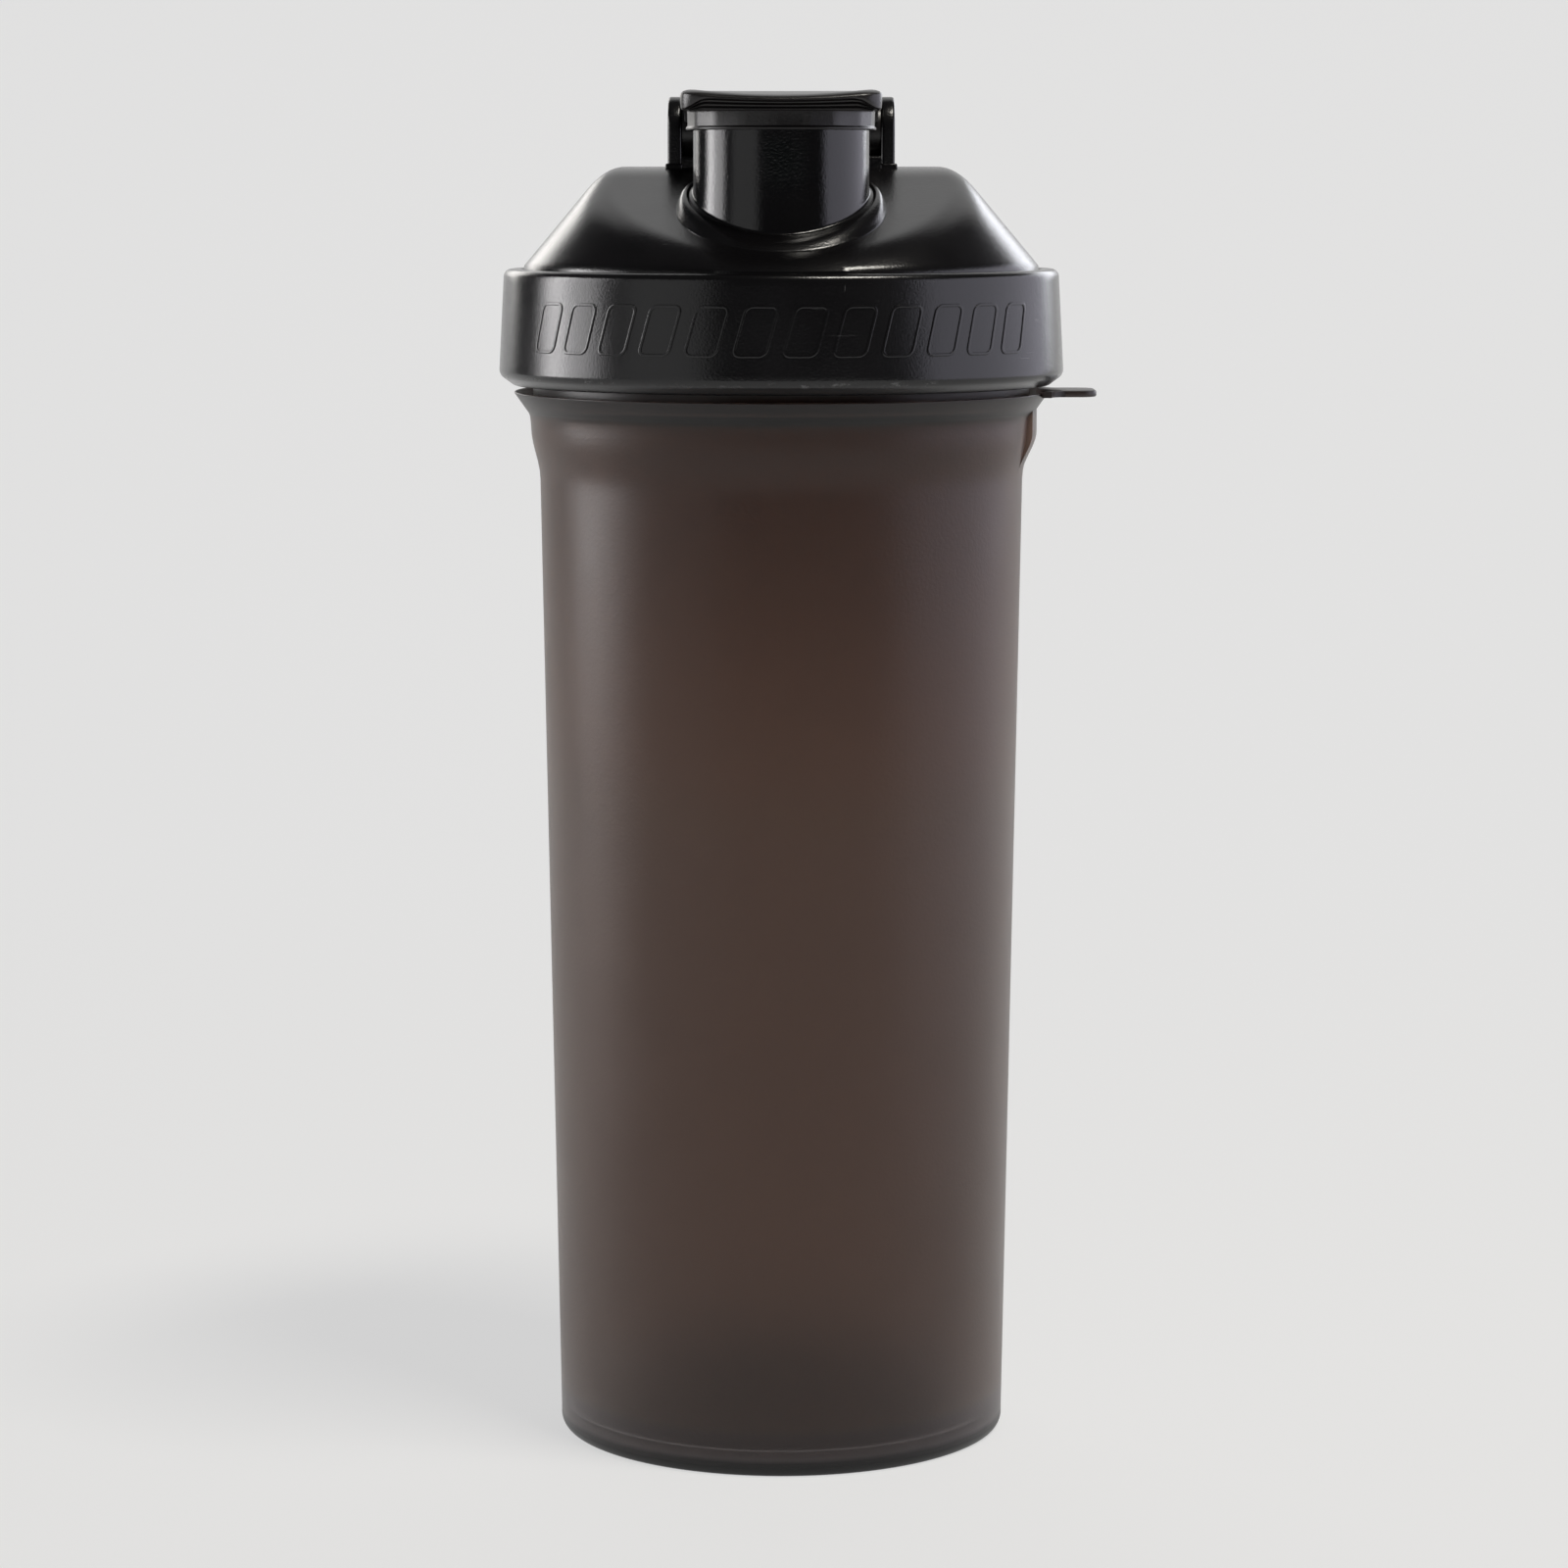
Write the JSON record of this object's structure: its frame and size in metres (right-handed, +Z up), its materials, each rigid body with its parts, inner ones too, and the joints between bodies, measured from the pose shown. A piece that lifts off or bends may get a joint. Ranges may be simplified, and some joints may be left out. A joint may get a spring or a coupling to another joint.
{
  "type": "protein shaker bottle",
  "caption": "Tapered shaker cup with a screw lid, round drinking spout, hinged flip cap, mixing strainer and a flat carry tab on the collar.",
  "frame": {"origin": "on the plane that the foot ring rests on, in the middle of the bottle's outline seen from above; the bottle's own round axis stands at x = -2.9 mm, because the carry tab sticks out on the +X side", "axes": "+Z up along the bottle, -Y the front where the spout is, +X the side with the carry tab"},
  "size_m": [0.1108, 0.105, 0.252],
  "materials": {
    "smoke_cup": "satin, smoke-tinted translucent polypropylene",
    "black_lid": "semi-gloss black moulding with a fine grain",
    "black_cap": "semi-gloss black moulding",
    "soft_seal": "matt soft elastomer",
    "black_strainer": "satin black moulding"
  },
  "bodies": {
    "cup": {"cup": "smoke_cup"},
    "lid_seal": {"lid_seal": "soft_seal"},
    "lid": {"lid": "black_lid"},
    "flip_cap": {"flip_cap": "black_cap", "spout_seal": "soft_seal"},
    "strainer": {"strainer": "black_strainer"}
  },
  "joints": [
    {"name": "lid_lift", "type": "slide", "parent": "cup", "child": "lid_seal", "axis": [0, 0, 1], "range_m": [0, 0.064]},
    {"name": "lid_turn", "type": "hinge", "parent": "lid_seal", "child": "lid", "pos_m": [-0.0029, 0, 0.205], "axis": [0, 0, 1], "range_deg": [0, 1440]},
    {"name": "cap_hinge", "type": "hinge", "parent": "lid", "child": "flip_cap", "pos_m": [-0.0029, 0.008, 0.2445], "axis": [-1, 0, 0], "range_deg": [0, 130]},
    {"name": "strainer_pull", "type": "slide", "parent": "lid", "child": "strainer", "axis": [0, 0, -1], "range_m": [0, 0.035]}
  ],
  "couplings": [
    {"joint": "lid_lift", "follows": "lid_turn", "m_per_rad": 0.0025465}
  ]
}
